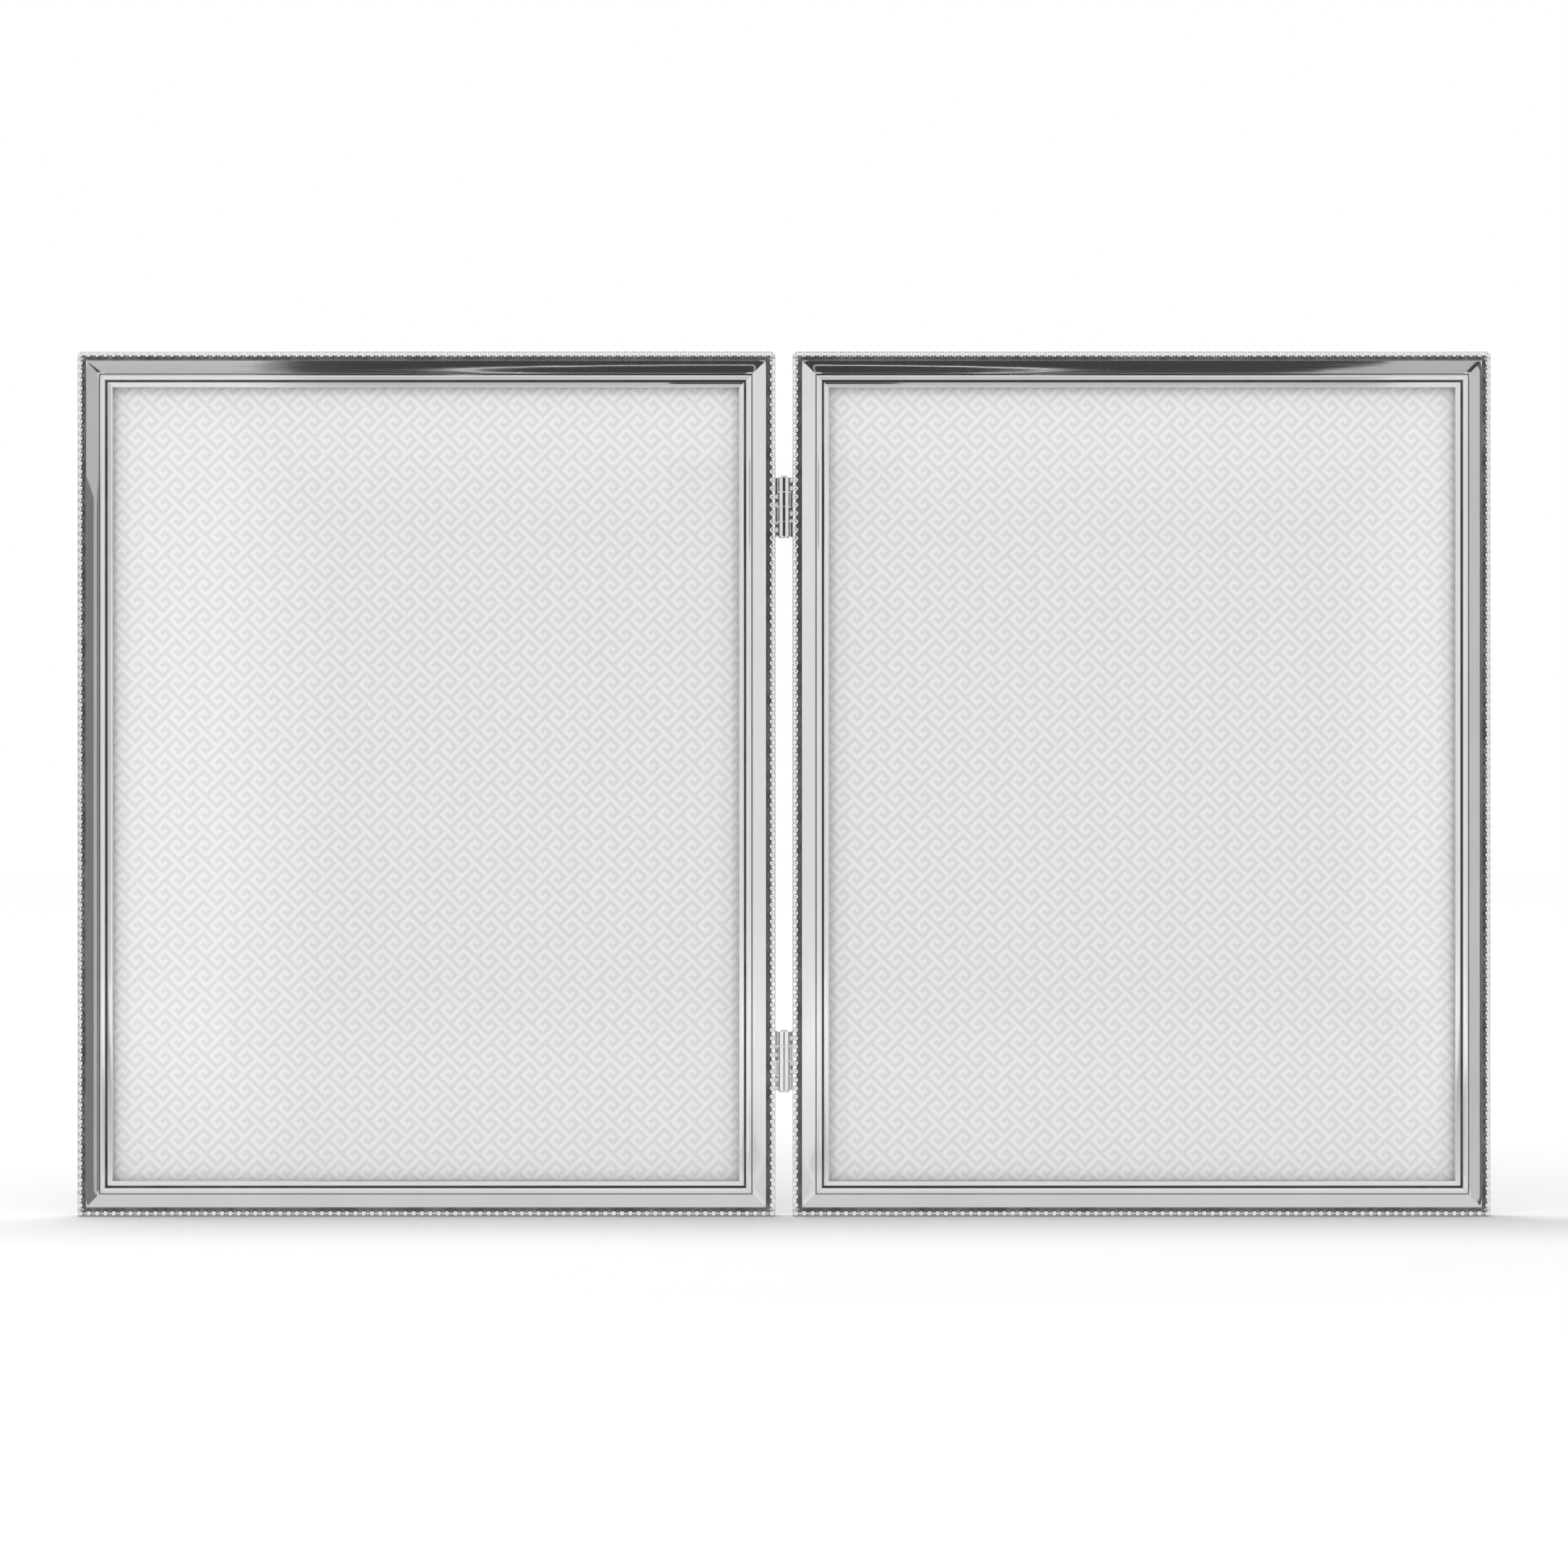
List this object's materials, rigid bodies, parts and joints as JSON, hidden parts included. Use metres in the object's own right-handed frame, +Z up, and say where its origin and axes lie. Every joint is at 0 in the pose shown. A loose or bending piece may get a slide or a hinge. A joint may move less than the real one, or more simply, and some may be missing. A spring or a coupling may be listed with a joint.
{
  "type": "hinged double photo frame",
  "caption": "Hinged double photo frame: glazed silver-plated leaves with beaded mitred mouldings, a patterned paper insert, velvet-covered backs and turn buttons.",
  "frame": {"origin": "under the hinge axis at the middle of the frame's depth, on the surface that the open frame stands on", "axes": "+Z up, +X to the viewer's right along the open frame, and the glazed front faces -Y"},
  "size_m": [0.4308, 0.0142, 0.2636],
  "materials": {
    "silver_plate": "polished silver plate",
    "bright_steel": "bright stamped steel",
    "glazing": "clear float glass",
    "insert_paper": "matte paper, fret pattern",
    "board": "plain hardboard",
    "velvet": "black velvet"
  },
  "bodies": {
    "left_leaf": {"left_top_rail": "silver_plate", "left_top_beads": "silver_plate", "left_bottom_rail": "silver_plate", "left_bottom_beads": "silver_plate", "left_outer_rail": "silver_plate", "left_outer_beads": "silver_plate", "left_hinge_rail": "silver_plate", "left_hinge_beads": "silver_plate", "left_button_studs": "bright_steel", "left_glass": "glazing", "left_insert": "insert_paper", "left_back_board": "board", "left_velvet": "velvet", "upper_hinge_left_plate": "silver_plate", "lower_hinge_left_plate": "silver_plate", "upper_hinge_pin": "silver_plate", "lower_hinge_pin": "silver_plate"},
    "right_leaf": {"right_top_rail": "silver_plate", "right_top_beads": "silver_plate", "right_bottom_rail": "silver_plate", "right_bottom_beads": "silver_plate", "right_outer_rail": "silver_plate", "right_outer_beads": "silver_plate", "right_hinge_rail": "silver_plate", "right_hinge_beads": "silver_plate", "right_button_studs": "bright_steel", "right_glass": "glazing", "right_insert": "insert_paper", "right_back_board": "board", "right_velvet": "velvet", "upper_hinge_right_plate": "silver_plate", "lower_hinge_right_plate": "silver_plate"},
    "left_top_button": {"left_top_button": "bright_steel"},
    "left_bottom_button": {"left_bottom_button": "bright_steel"},
    "left_outer_button": {"left_outer_button": "bright_steel"},
    "left_hinge_button": {"left_hinge_button": "bright_steel"},
    "right_top_button": {"right_top_button": "bright_steel"},
    "right_bottom_button": {"right_bottom_button": "bright_steel"},
    "right_outer_button": {"right_outer_button": "bright_steel"},
    "right_hinge_button": {"right_hinge_button": "bright_steel"}
  },
  "joints": [
    {"name": "leaf_fold", "type": "hinge", "parent": "left_leaf", "child": "right_leaf", "pos_m": [0, -0.00525, 0.1318], "axis": [0, 0, -1], "range_deg": [-20, 180]},
    {"name": "left_top_button_turn", "type": "hinge", "parent": "left_leaf", "child": "left_top_button", "pos_m": [-0.109, 0.00575, 0.2614], "axis": [0, 1, 0], "range_deg": [-90, 90]},
    {"name": "left_bottom_button_turn", "type": "hinge", "parent": "left_leaf", "child": "left_bottom_button", "pos_m": [-0.109, 0.00575, 0.0022], "axis": [0, 1, 0], "range_deg": [-90, 90]},
    {"name": "left_outer_button_turn", "type": "hinge", "parent": "left_leaf", "child": "left_outer_button", "pos_m": [-0.2132, 0.00575, 0.1318], "axis": [0, 1, 0], "range_deg": [-90, 90]},
    {"name": "left_hinge_button_turn", "type": "hinge", "parent": "left_leaf", "child": "left_hinge_button", "pos_m": [-0.0048, 0.00575, 0.1318], "axis": [0, 1, 0], "range_deg": [-90, 90]},
    {"name": "right_top_button_turn", "type": "hinge", "parent": "right_leaf", "child": "right_top_button", "pos_m": [0.109, 0.00575, 0.2614], "axis": [0, 1, 0], "range_deg": [-90, 90]},
    {"name": "right_bottom_button_turn", "type": "hinge", "parent": "right_leaf", "child": "right_bottom_button", "pos_m": [0.109, 0.00575, 0.0022], "axis": [0, 1, 0], "range_deg": [-90, 90]},
    {"name": "right_outer_button_turn", "type": "hinge", "parent": "right_leaf", "child": "right_outer_button", "pos_m": [0.2132, 0.00575, 0.1318], "axis": [0, 1, 0], "range_deg": [-90, 90]},
    {"name": "right_hinge_button_turn", "type": "hinge", "parent": "right_leaf", "child": "right_hinge_button", "pos_m": [0.0048, 0.00575, 0.1318], "axis": [0, 1, 0], "range_deg": [-90, 90]}
  ]
}
